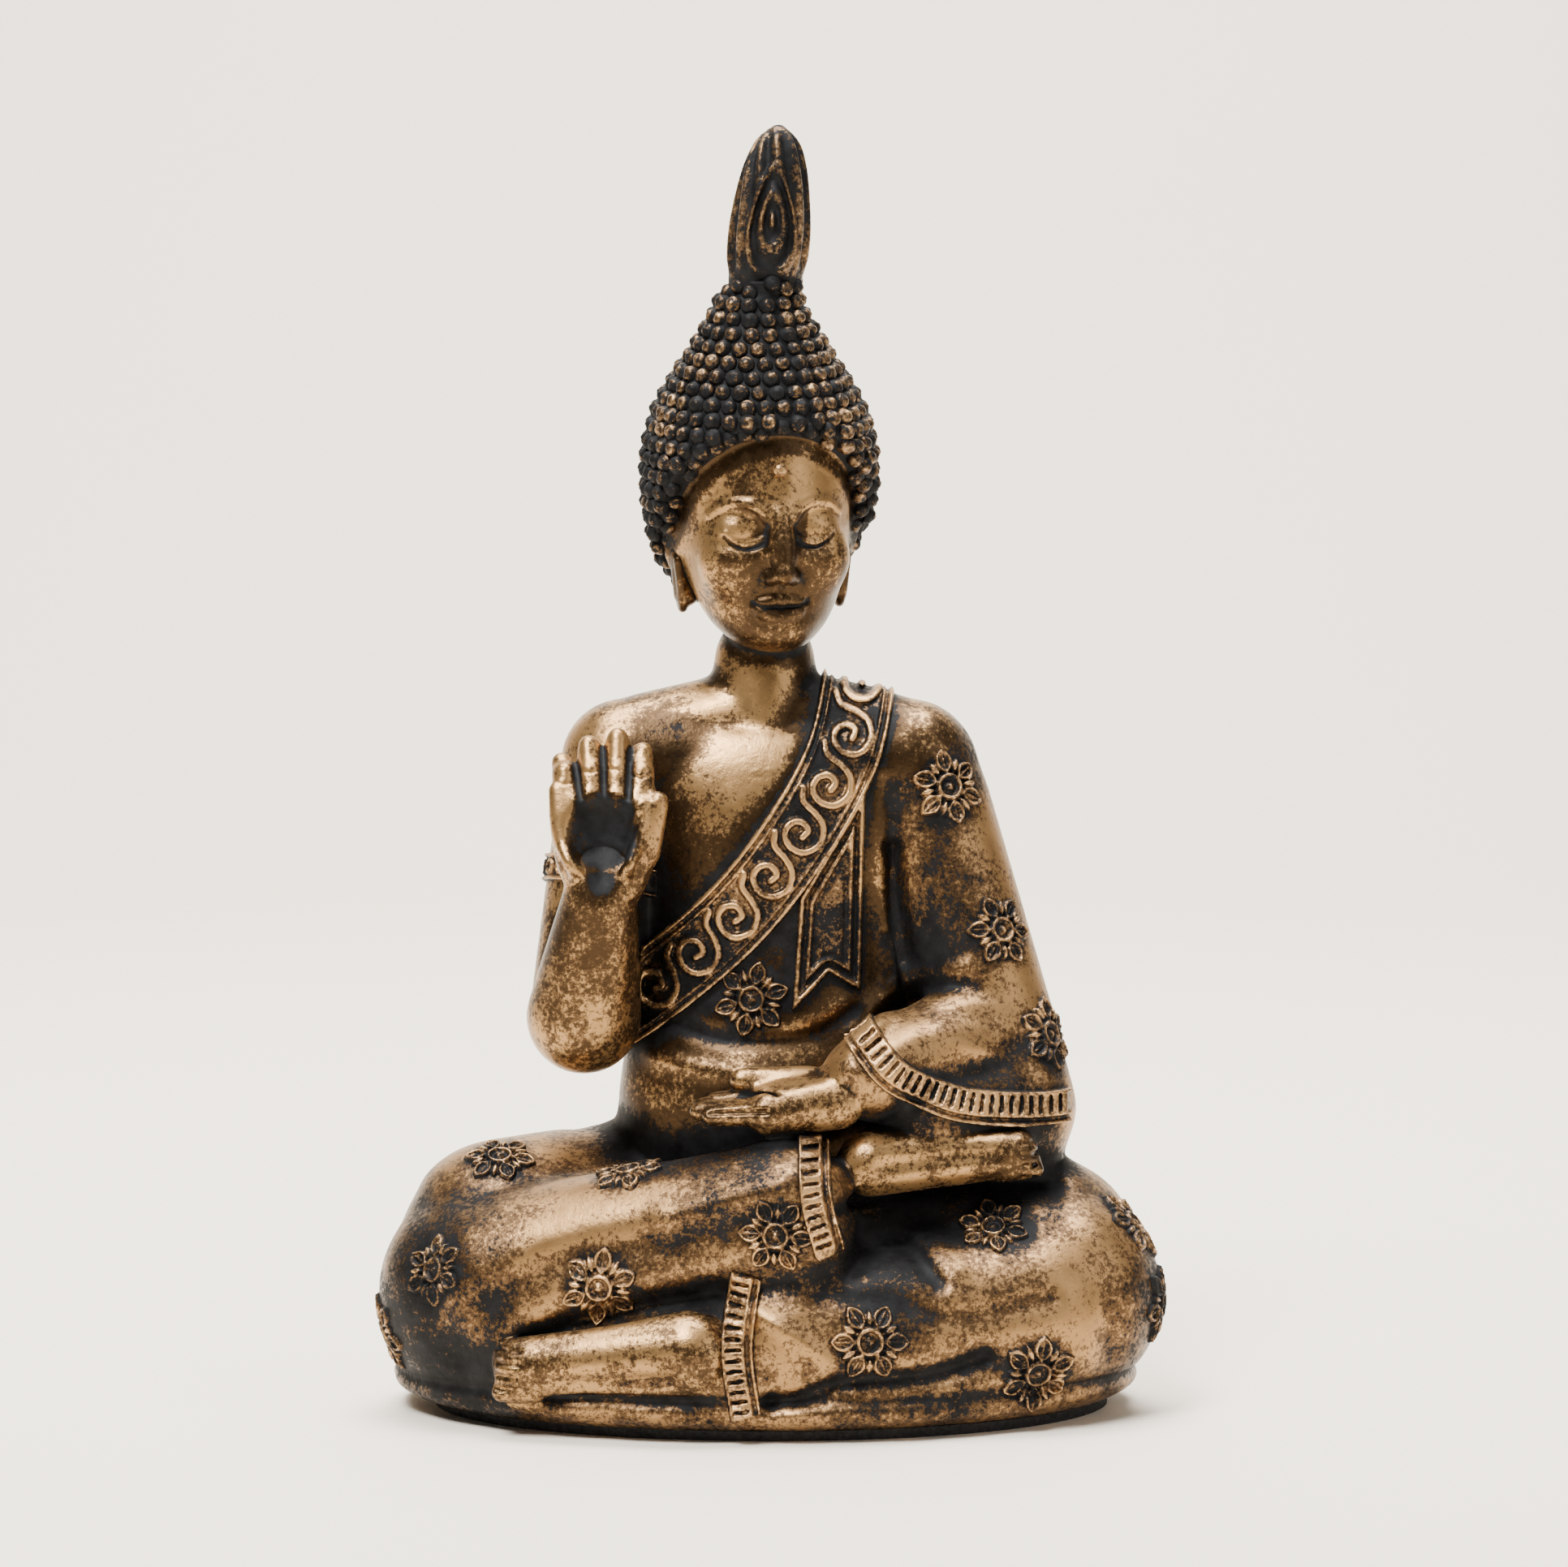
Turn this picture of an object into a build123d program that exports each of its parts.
from build123d import *

import math
import os

# A seated figure of the Buddha, cast in resin sections and finished in antique gold.
# Millimetres. +Z is up, the figure faces -Y, and its own left hand is on +X.
# The origin is the centre of the footprint, on the surface that the figure stands on.

# ---------------------------------------------------------------- driving dimensions
FELT = 1.5                      # thickness of the felt pad
PLATE = 3.0                     # thickness of the closing plate
RELIEF = 1.1                    # how far applied trim stands off the robe
BASE_X, BASE_Y = 53.5, 34.0     # half width and half depth of the robe's foot
PLATE_X, PLATE_Y = 46.0, 27.0   # half width and half depth of the closing plate
CAVITY_TOP = 22.0               # height of the hollow inside the lap
TORSO_FOOT = 36.0               # height of the torso's seat in the lap
NECK_TOP = 122.0                # height of the neck inside the head

# ---------------------------------------------------------------- points of the pose
KNEE_REACH = 43.0
RIGHT_KNEE = Vector(-KNEE_REACH, -8, 18.5)
LEFT_KNEE = Vector(KNEE_REACH, -8, 18)
RIGHT_HIP = Vector(-18, 9, 24.5)
LEFT_HIP = Vector(17, 5, 24.5)
RIGHT_SHIN_END = Vector(2, -25, 33)
LEFT_SHIN_END = Vector(2, -26, 14)
RIGHT_SHOULDER = Vector(-22.5, 6, 98.5)
LEFT_SHOULDER = Vector(21.5, 6, 98.5)
RIGHT_ELBOW_BACK = Vector(-29, -1, 63.5)
RIGHT_ELBOW = Vector(-28.5, -9.5, 61)
RIGHT_WRIST = Vector(-25.5, -15.5, 82)
LEFT_ELBOW = Vector(34.5, -1, 58)
LEFT_WRIST = Vector(12, -20, 52)
TRUNK_MIDDLE = -1.0             # X of the trunk, neck and torso joint
HEAD_MIDDLE = Vector(-1.8, 7, 142)
HEAD_TURN = 12                  # degrees that the face is turned towards the left hand
HEAD_NOD = 7                    # degrees that the face looks down
FINIAL_TIP = Vector(1.3, 1.5, 196.4)

# ---------------------------------------------------------------- joints between castings
SPIGOT_RADIUS, SPIGOT_LENGTH = 9.0, 10.0
DOWEL_RADIUS = 3.0
PIN_RADIUS = 1.2

# ---------------------------------------------------------------- ornament
CURL_RADIUS = 1.3
CURL_PITCH = 2.75
ROSETTE_RADIUS = 5.6
PETALS = 6
SASH_WIDTH = 11.7
HEM_WIDTH = 5.0
RUNG_PITCH = 2.1
RUNG_GAP = 1.2                  # width of the sunk square between two rungs
SMALLEST = 0.4                  # offcuts smaller than this many cubic millimetres are dropped

# Centre lines of the trim, seen from the front as (x, z).
SASH_LINE = [(15, 119), (13.9, 113.4), (11.1, 101), (4.3, 88.6), (-5.5, 76.2), (-17.3, 65.7), (-25, 60)]
SLEEVE_HEM_LINE = [(13.5, 60), (19, 53.6), (28, 49.2), (38, 47.6), (45, 47.4)]
RIGHT_HEM_LINE = [(6.5, 44), (6.8, 37), (8.8, 29)]
LEFT_HEM_LINE = [(-3.5, 24), (-5, 15), (-3.6, 5.5)]
PENNANT = [(4.3, 79), (14.6, 96), (13.9, 64.2), (8.9, 67.4), (3.1, 61.5)]

# Rosettes as (x, y, z) of a point below the cloth, heading from the front and pitch up, in degrees.
LEG_ROSETTES = [
    (-40, -4, 30, -15, 60), (-20, -14, 34, -10, 35), (-46, -12, 22, -25, 12), (-25.6, -14, 22.8, 0, 0),
    (1.3, -14, 27.5, 0, 10), (32.4, -12, 27, 10, 20), (50, -6, 26, 55, 25), (50, -6, 17, 60, 0),
    (14.7, -14, 15.4, 0, 0), (37.9, -12, 9.5, 8, 0), (-50, -6, 12.7, -60, 0),
    (-34, 8, 20, 200, 10), (0, 10, 20, 180, 15), (34, 8, 20, 160, 10),
]
ROBE_ROSETTES = [(-3, 0, 63.6, 0, 0), (2, 4, 90, 180, 0), (-9, 4, 58, 185, 0), (11, 4, 64, 170, 0)]
SLEEVE_ROSETTES = [(24.3, 5, 94.5, 20, 5), (31.7, 0, 73, 30, 5), (38.5, -2, 57, 40, 5), (33, 2, 66, 150, 5)]


# ---------------------------------------------------------------- building blocks
def limb(start, start_radius, end, end_radius):
    """A tapered limb: two balls and the cone that touches them both."""
    axis = end - start
    lean = math.asin((start_radius - end_radius) / axis.length)
    foot = (start_radius * math.cos(lean), start_radius * math.sin(lean))
    top = (end_radius * math.cos(lean), axis.length + end_radius * math.sin(lean))
    with BuildPart() as piece:
        with BuildSketch(Plane.XZ):
            with BuildLine():
                CenterArc((0, 0), start_radius, -90, 90 + math.degrees(lean))
                Line(foot, top)
                CenterArc((0, axis.length), end_radius, math.degrees(lean), 90 - math.degrees(lean))
                Line((0, axis.length + end_radius), (0, -start_radius))
            make_face()
        revolve(axis=Axis.Z)
    return piece.part.moved(Plane(origin=start, z_dir=axis).location)


def stack(sections, middle_x=TRUNK_MIDDLE):
    """A smooth solid through level ellipses, each (height, half width, half depth, middle's Y)."""
    with BuildPart() as piece:
        for height, half_width, half_depth, middle in sections:
            with BuildSketch(Plane((middle_x, middle, height))):
                Ellipse(half_width, half_depth)
        loft()
    return piece.part


def joined(*shapes):
    """The shapes fused into one solid."""
    with BuildPart() as piece:
        for shape in shapes:
            add(shape)
    return piece.part


def cleared(shape, *others):
    """The shape with the others taken out of it, and tiny offcuts dropped."""
    with BuildPart() as piece:
        add(shape)
        for other in others:
            add(other, mode=Mode.SUBTRACT)
    with BuildPart() as kept:
        add(piece.part.solids().filter_by(lambda solid: solid.volume > SMALLEST))
    return kept.part


def cut(shape, *others):
    """The largest solid left of the shape when the others are taken out of it."""
    with BuildPart() as kept:
        add(cleared(shape, *others).solids().sort_by(SortBy.VOLUME)[-1])
    return kept.part


def raised(pattern, outer, *inner):
    """Trim on a curved surface: the pattern's prism, inside the outer mass and outside the inner ones."""
    with BuildPart() as piece:
        add(pattern)
        add(outer, mode=Mode.INTERSECT)
    return cleared(piece.part, *inner)


def pin_between(start, end, radius=PIN_RADIUS):
    """A straight dowel between two points."""
    axis = end - start
    with BuildPart() as piece:
        with BuildSketch(Plane(origin=start, z_dir=axis)):
            Circle(radius)
        extrude(amount=axis.length)
    return piece.part


def band(points, width, back=0.0):
    """A flat strip along a curve seen from the front, reaching from far in front to Y = back."""
    with BuildPart() as piece:
        with BuildSketch(Plane.XZ.offset(-back)):
            with BuildLine():
                Spline(points)
            trace(line_width=width)
        extrude(amount=60 + back)
    return piece.part


def ladder(points, back=0.0):
    """A hem: a strip with a row of sunk squares between its two rails."""
    with BuildPart() as piece:
        with BuildSketch(Plane.XZ.offset(-back)):
            with BuildLine() as centre:
                Spline(points)
            trace(line_width=HEM_WIDTH)
            edge = centre.edges()[0]
            count = int(edge.length / RUNG_PITCH)
            for step in range(1, count):
                along = step / count
                heading = edge.tangent_angle_at(along)
                with Locations(Location(edge @ along, heading)):
                    Rectangle(RUNG_GAP, HEM_WIDTH * 0.55, mode=Mode.SUBTRACT)
        extrude(amount=60 + back)
    return piece.part


def spot_on(mass, x, y, z, heading, pitch):
    """The plane that touches the mass outside a point below its surface."""
    level = math.cos(math.radians(pitch))
    outward = Vector(
        math.sin(math.radians(heading)) * level,
        -math.cos(math.radians(heading)) * level,
        math.sin(math.radians(pitch)),
    )
    far = Vector(x, y, z) + outward * 90
    point, normal = mass.find_intersection_points(Axis(far, outward * -1))[0]
    if normal.dot(outward) < 0:
        normal = normal * -1
    return Plane(origin=point, x_dir=Vector(0, 0, 1).cross(normal), z_dir=normal)


def rosettes(mass, places):
    """Flowers of pointed petals round a boss, as prisms square to the mass's surface."""
    with BuildPart() as piece:
        for place in places:
            with BuildSketch(spot_on(mass, *place)):
                Circle(ROSETTE_RADIUS * 0.42)
                with PolarLocations(ROSETTE_RADIUS * 0.62, PETALS):
                    Ellipse(ROSETTE_RADIUS * 0.38, ROSETTE_RADIUS * 0.24)
            extrude(amount=ROSETTE_RADIUS / 2, both=True)
    return piece.part


def save(name, shape):
    """Labels a finished piece and writes its STEP file."""
    shape.label = name
    export_step(shape, f"parts/{name}.step")


# ---------------------------------------------------------------- body masses
def legs_mass(grow=0.0):
    """Seat, thighs and crossed shins under the robe."""
    core = stack([
        (FELT, BASE_X + grow, BASE_Y + grow, -1),
        (5, BASE_X + 4 + grow, BASE_Y + 1.5 + grow, -1),
        (12, BASE_X + 3.5 + grow, BASE_Y + grow, -2),
        (24, BASE_X - 12 + grow, BASE_Y - 8 + grow, -2),
        (33 + grow, BASE_X - 26 + grow, BASE_Y - 14 + grow, -1),
    ])
    solids = [
        limb(Vector(-14, 12, 22), 21 + grow, Vector(14, 12.5, 22), 20.8 + grow),
        limb(RIGHT_HIP, 19.5 + grow, RIGHT_KNEE, 17.2 + grow),
        limb(LEFT_HIP, 19 + grow, LEFT_KNEE, 17 + grow),
        limb(Vector(-24, 5, 29), 13.8 + grow, Vector(-41.5, -2.5, 25.5), 15.6 + grow),
        limb(Vector(24, 5, 28), 13.7 + grow, Vector(41.5, -2.5, 23), 15.5 + grow),
        limb(Vector(-40, -13.5, 20), 15 + grow, RIGHT_SHIN_END, 11 + grow),
        limb(Vector(39.5, -13, 16), 15 + grow, LEFT_SHIN_END, 11.4 + grow),
    ]
    with BuildPart() as mass:
        add(joined(core, *solids))
        split(bisect_by=Plane.XY.offset(FELT))
    return mass.part


def chest_mass(grow=0.0):
    """Trunk and shoulders."""
    trunk = stack([
        (TORSO_FOOT, 21.5 + grow, 15 + grow, 5),
        (52, 22 + grow, 15.5 + grow, 3.5),
        (68, 19.5 + grow, 13 + grow, 4),
        (84, 22 + grow, 13.5 + grow, 5),
        (97, 25 + grow, 12.5 + grow, 6),
        (104 + grow, 20 + grow, 9 + grow, 6),
    ])
    slope = Vector(TRUNK_MIDDLE, 6.5, 106)
    return joined(
        trunk,
        limb(RIGHT_SHOULDER, 10 + grow, LEFT_SHOULDER, 9.9 + grow),
        limb(slope, 7.6 + grow, Vector(-19, 6, 101), 8.4 + grow),
        limb(slope, 7.5 + grow, Vector(18, 6, 101), 8.3 + grow),
    )


def upper_arm_mass(grow=0.0):
    """The bare right upper arm."""
    return limb(RIGHT_SHOULDER, 9.8 + grow, RIGHT_ELBOW_BACK, 7.8 + grow)


def torso_mass():
    """Chest, neck and bare right upper arm."""
    neck = limb(Vector(TRUNK_MIDDLE, 6.7, 104), 9, Vector(TRUNK_MIDDLE, 7.4, NECK_TOP - 7.8), 7.8)
    return joined(chest_mass(), upper_arm_mass(), neck)


def sleeve_mass(grow=0.0):
    """The left arm under its wide sleeve."""
    return joined(
        limb(Vector(22.5, 6, 97.5), 9.9 + grow, LEFT_ELBOW, 9.4 + grow),
        limb(LEFT_ELBOW, 9.5 + grow, LEFT_WRIST + Vector(3, 1, 1.5), 7 + grow),
        limb(LEFT_ELBOW, 9.3 + grow, Vector(36.5, -4, 46), 10.5 + grow),
        limb(Vector(36.5, -4, 46), 10.4 + grow, Vector(24, -15, 47), 7 + grow),
    )


# ---------------------------------------------------------------- head
def head_frame():
    """The head's own plane: origin at its middle, turned and nodded like the face."""
    return Plane(HEAD_MIDDLE).rotated((HEAD_NOD, 0, HEAD_TURN))


def skull_mass():
    """Face and skull in the head's own frame: an even oval with a straight nose."""
    oval = stack([
        (-24, 4.5, 4, -10),
        (-20.5, 9, 9, -7),
        (-12, 12.4, 13.5, -3.5),
        (-2, 13.7, 15.5, -1),
        (8, 13.4, 15, 1),
        (16, 9.5, 11, 2),
        (19, 5, 6, 2),
    ], middle_x=0)
    nose = limb(Vector(0, -15.2, 1), 1.1, Vector(0, -17.2, -8.2), 2.1)
    return joined(oval, nose)


HAIR_OUTLINE = [(12.2, -20), (15.9, -10), (17.6, 1), (16.2, 10), (12.4, 17), (8.6, 23), (5.7, 29)]
HAIRLINE = Plane(origin=(0, -15, 7), z_dir=(0, 21, 16))


def hair_mass():
    """The hair in the head's own frame: a turned bell behind and above the hairline."""
    with BuildPart() as piece:
        with BuildSketch(Plane.XZ):
            with BuildLine():
                Spline(HAIR_OUTLINE)
                Polyline(HAIR_OUTLINE[-1], (0, HAIR_OUTLINE[-1][1]), (0, HAIR_OUTLINE[0][1]), HAIR_OUTLINE[0])
            make_face()
        revolve(axis=Axis.Z)
        split(bisect_by=HAIRLINE)
    return piece.part


def curls():
    """Rows of small domes standing on the hair, leaving out the face."""
    with BuildPart(mode=Mode.PRIVATE) as dome:
        Sphere(CURL_RADIUS)
        split(bisect_by=Plane.XY)
    with BuildLine(mode=Mode.PRIVATE) as outline:
        Spline(HAIR_OUTLINE)
    edge = outline.edges()[0]
    rows = int(edge.length / (CURL_PITCH * 0.87))
    domes = []
    for row in range(rows):
        along = (row + 0.5) / rows
        spot = edge @ along
        slope = edge % along
        count = int(2 * math.pi * spot.X / CURL_PITCH)
        for turn in range(count):
            angle = 2 * math.pi * (turn + 0.5 * (row % 2)) / count
            side = Vector(math.cos(angle), math.sin(angle), 0)
            outward = side * slope.Y + Vector(0, 0, -slope.X)
            place = side * spot.X + Vector(0, 0, spot.Y)
            if HAIRLINE.to_local_coords(place).Z > CURL_RADIUS:
                domes.append(dome.part.solid().moved(Plane(origin=place, z_dir=outward).location))
    return Compound(children=domes)


def ear(side):
    """A long-lobed ear on one side of the head, in the head's own frame."""
    return stack([
        (-19, 1, 1.4, -1.8),
        (-15, 1.5, 2.3, -1.8),
        (-7, 1.5, 2.6, -1.2),
        (0, 1.6, 3.4, -0.8),
        (3.5, 1, 2, -0.6),
    ], middle_x=side * 14)


def turned_tip(start, tip, outline):
    """A pointed form turned about the line from start to tip; the outline is (share of length, radius)."""
    axis = tip - start
    points = [(radius, share * axis.length) for share, radius in outline]
    with BuildPart() as piece:
        with BuildSketch(Plane.XZ):
            with BuildLine():
                Spline(points)
                Polyline(points[-1], (0, points[-1][1]), (0, points[0][1]), points[0])
            make_face()
        revolve(axis=Axis.Z)
    return piece.part.moved(Plane(origin=start, z_dir=axis).location)


# ---------------------------------------------------------------- hands and feet
def raised_hand():
    """The right hand: palm forward, fingers up, thumb inwards, its back cast against the shoulder."""
    palm = stack([
        (79.5, 5.4, 4.4, -15.6),
        (86, 7.6, 3.6, -15.6),
        (92, 8.2, 3.1, -14.8),
        (96, 7.4, 2.7, -13.8),
    ], middle_x=-25)
    fingers = [
        (-30.7, 94, -31.8, 101.8, 1.7),
        (-27, 95, -27.6, 104.4, 1.8),
        (-23.2, 95, -23.2, 105.6, 1.8),
        (-19.7, 94.5, -19.3, 103.4, 1.7),
    ]
    digits = [
        limb(Vector(root_x, -14, root_z), width + 0.2, Vector(tip_x, -10.6, tip_z - width), width - 0.2)
        for root_x, root_z, tip_x, tip_z, width in fingers
    ]
    thumb = limb(Vector(-19, -15.4, 86.5), 2.3, Vector(-16.9, -15.6, 94.5), 1.6)
    back_rest = limb(Vector(-25.5, -12, 95), 3, Vector(-24.5, -2, 97), 4.5)
    return joined(palm, thumb, back_rest, *digits)


def resting_hand():
    """The left hand: palm up in the lap, fingers pointing to the right, thumb on top."""
    palm = [
        limb(Vector(10, -22.5, 49.4), 3.8, Vector(-0.5, -25.5, 48.2), 3),
        limb(Vector(10, -17.5, 50), 3.8, Vector(-0.5, -19, 49.2), 3),
        limb(Vector(9, -20, 49.8), 3.6, Vector(-0.5, -22.3, 48.8), 3),
    ]
    digits = []
    for finger, reach in enumerate([-9, -11, -10.6, -8.6]):
        knuckle = Vector(-1, -26 + 2.5 * finger, 48.3 + 0.3 * finger)
        fingertip = Vector(reach, -25.5 + 2.3 * finger, 47.8 + 0.5 * finger)
        digits.append(limb(knuckle, 1.8, fingertip, 1.4))
    thumb = limb(Vector(5.5, -17.5, 52.2), 2.2, Vector(-4.5, -20, 53), 1.5)
    return joined(*palm, *digits, thumb)


def foot(heel, heel_radius, toes, toe_radius):
    """A foot on its side, from the heel to a fan of five toes."""
    aim = (toes - heel).normalized()
    spread = Vector(0, 0.45, 0.9)
    digits = [
        limb(toes - aim * 2 + spread * (toe - 2) * toe_radius * 0.4, toe_radius * 0.42,
             toes + aim * (3.4 - 0.5 * toe) + spread * (toe - 2) * toe_radius * 0.4, toe_radius * 0.34)
        for toe in range(5)
    ]
    return joined(limb(heel, heel_radius, toes, toe_radius), *digits)


# ---------------------------------------------------------------- castings
os.makedirs("parts", exist_ok=True)

legs = legs_mass()
chest = chest_mass()
torso_solid = torso_mass()
sleeve_solid = sleeve_mass()
crown = (head_frame().location * Location((0.7, 0, HAIR_OUTLINE[-1][1]))).position
skull = skull_mass().moved(head_frame().location)
hair = hair_mass().moved(head_frame().location)

# Glued joints: a round spigot under the torso and straight dowels elsewhere.
spigot_top = Vector(TRUNK_MIDDLE, 5, TORSO_FOOT)
spigot_foot = spigot_top - Vector(0, 0, SPIGOT_LENGTH)
torso_spigot = pin_between(spigot_foot, spigot_top + Vector(0, 0, 1), SPIGOT_RADIUS)
neck_dowel = pin_between(Vector(TRUNK_MIDDLE, 7.2, 108), Vector(TRUNK_MIDDLE, 7.2, 133), DOWEL_RADIUS)
finial_aim = (FINIAL_TIP - crown).normalized()
finial_pin = pin_between(crown - finial_aim * 5, crown + finial_aim * 7)
elbow_aim = (RIGHT_ELBOW - RIGHT_ELBOW_BACK).normalized()
right_elbow_pin = pin_between(RIGHT_ELBOW_BACK - elbow_aim * 4, RIGHT_ELBOW + elbow_aim * 4)
right_palm = Vector(-25, -15.4, 88)
wrist_aim = (right_palm - RIGHT_WRIST).normalized()
right_wrist_pin = pin_between(RIGHT_WRIST - wrist_aim * 5, RIGHT_WRIST + wrist_aim * 4)
left_wrist_pin = pin_between(Vector(18, -17.8, 52.6), Vector(7, -20.5, 50.6))

with BuildPart() as base_felt:
    with BuildSketch():
        Ellipse(BASE_X - 1.5, BASE_Y - 1.5)
    extrude(amount=FELT)

with BuildPart() as base_plate:
    with BuildSketch(Plane.XY.offset(FELT)):
        Ellipse(PLATE_X, PLATE_Y)
    extrude(amount=PLATE)

cavity = stack([
    (FELT + PLATE, PLATE_X - 3, PLATE_Y - 3, 0),
    (14, PLATE_X - 5, PLATE_Y - 5, 0),
    (CAVITY_TOP, PLATE_X - 14, PLATE_Y - 10, 0),
])
lower_body = cut(legs, cavity, base_plate.part, torso_solid, torso_spigot)
torso = cut(joined(torso_solid, torso_spigot), neck_dowel, right_elbow_pin)
left_sleeve = cut(sleeve_solid, torso_solid, legs, left_wrist_pin)
forearm = limb(RIGHT_ELBOW, 8.8, RIGHT_WRIST, 5.3)
right_forearm = cut(forearm, torso_solid, legs, right_elbow_pin, right_wrist_pin)
right_hand = cut(raised_hand(), right_forearm, torso_solid, right_wrist_pin)
left_hand = cut(resting_hand(), left_sleeve, torso_solid, legs, left_wrist_pin)
upper_foot = foot(Vector(15, -20, 40), 5, Vector(37, -16.5, 41), 3.6)
right_foot = cut(upper_foot, legs, left_sleeve, left_hand, torso_solid)
left_foot = cut(foot(Vector(-12, -31.5, 13), 7.2, Vector(-37, -28.5, 10.5), 4.6), legs)
head = cut(skull, torso_solid, neck_dowel)
hair_cap = cut(hair, skull, torso_solid, neck_dowel, finial_pin)
flame_finial = cut(turned_tip(crown, FINIAL_TIP, [
    (0, 5.4), (0.15, 5.8), (0.36, 5.95), (0.58, 5.3), (0.8, 4.1), (0.94, 2.3), (1, 0.5),
]), finial_pin, hair_cap)

# ---------------------------------------------------------------- applied ornament
right_ear = cut(ear(-1).moved(head_frame().location), head, hair_cap, torso_solid)
left_ear = cut(ear(1).moved(head_frame().location), head, hair_cap, torso_solid)
brow = head_frame().location * Location((0, -15.2, 4))
urna = cut(Solid.make_sphere(1.1).moved(brow), head)
hair_curls = curls().moved(head_frame().location)

with BuildPart() as armlet_band:
    with BuildSketch(Plane(origin=(-25.8, 2.5, 81), z_dir=RIGHT_ELBOW_BACK - RIGHT_SHOULDER)):
        Circle(14)
    extrude(amount=2.2, both=True)
armlet = raised(armlet_band.part, upper_arm_mass(RELIEF), torso_solid)

sash_surface = chest_mass(RELIEF)
sash_strip = band(SASH_LINE, SASH_WIDTH, back=30)
sash_band = raised(sash_strip, sash_surface, torso_solid, sleeve_solid, armlet)
with BuildLine() as sash_centre:
    Spline(SASH_LINE)
with BuildPart() as scroll_prisms:
    with BuildSketch(Plane.XZ):
        for share in [0.14, 0.23, 0.32, 0.41, 0.5, 0.59, 0.68, 0.77, 0.86]:
            with Locations(sash_centre.edges()[0] @ share):
                Circle(3.1)
                Circle(2.3, mode=Mode.SUBTRACT)
                Circle(1.0)
    extrude(amount=40)
sash_scrolls = raised(scroll_prisms.part, chest_mass(2 * RELIEF), sash_surface, torso_solid, sleeve_solid)

with BuildPart() as pennant_prism:
    with BuildSketch(Plane.XZ):
        with BuildLine():
            Polyline(*PENNANT, close=True)
        make_face()
    extrude(amount=40)
sash_pennant = raised(pennant_prism.part, sash_surface, torso_solid, sash_strip, sleeve_solid)

sleeve_surface = sleeve_mass(RELIEF)
legs_surface = legs_mass(RELIEF)
hem_neighbours = [torso_solid, legs, left_hand, right_foot]
sleeve_hem = raised(ladder(SLEEVE_HEM_LINE), sleeve_surface, sleeve_solid, *hem_neighbours)
right_leg_hem = raised(ladder(RIGHT_HEM_LINE), legs_surface, *hem_neighbours)
left_leg_hem = raised(ladder(LEFT_HEM_LINE), legs_surface, legs, left_foot)

leg_flowers = rosettes(legs, LEG_ROSETTES)
leg_rosettes = raised(leg_flowers, legs_surface, legs, right_leg_hem, right_foot, left_foot)
robe_flowers = rosettes(chest, ROBE_ROSETTES)
robe_rosettes = raised(robe_flowers, sash_surface, torso_solid, sash_band, sash_pennant)
sleeve_flowers = rosettes(sleeve_solid, SLEEVE_ROSETTES)
sleeve_rosettes = raised(sleeve_flowers, sleeve_surface, sleeve_solid, torso_solid, sleeve_hem)

# ---------------------------------------------------------------- hand-over
PIECES = {
    "base_felt": base_felt.part, "base_plate": base_plate.part, "lower_body": lower_body, "torso": torso,
    "left_sleeve": left_sleeve, "right_forearm": right_forearm, "right_hand": right_hand,
    "left_hand": left_hand, "right_foot": right_foot, "left_foot": left_foot, "head": head,
    "hair_cap": hair_cap, "hair_curls": hair_curls, "flame_finial": flame_finial, "urna": urna,
    "right_ear": right_ear, "left_ear": left_ear, "neck_dowel": neck_dowel, "finial_pin": finial_pin,
    "right_elbow_pin": right_elbow_pin, "right_wrist_pin": right_wrist_pin,
    "left_wrist_pin": left_wrist_pin, "armlet": armlet, "sash_band": sash_band,
    "sash_scrolls": sash_scrolls, "sash_pennant": sash_pennant, "sleeve_hem": sleeve_hem,
    "right_leg_hem": right_leg_hem, "left_leg_hem": left_leg_hem, "leg_rosettes": leg_rosettes,
    "robe_rosettes": robe_rosettes, "sleeve_rosettes": sleeve_rosettes,
}
for name, shape in PIECES.items():
    save(name, shape)
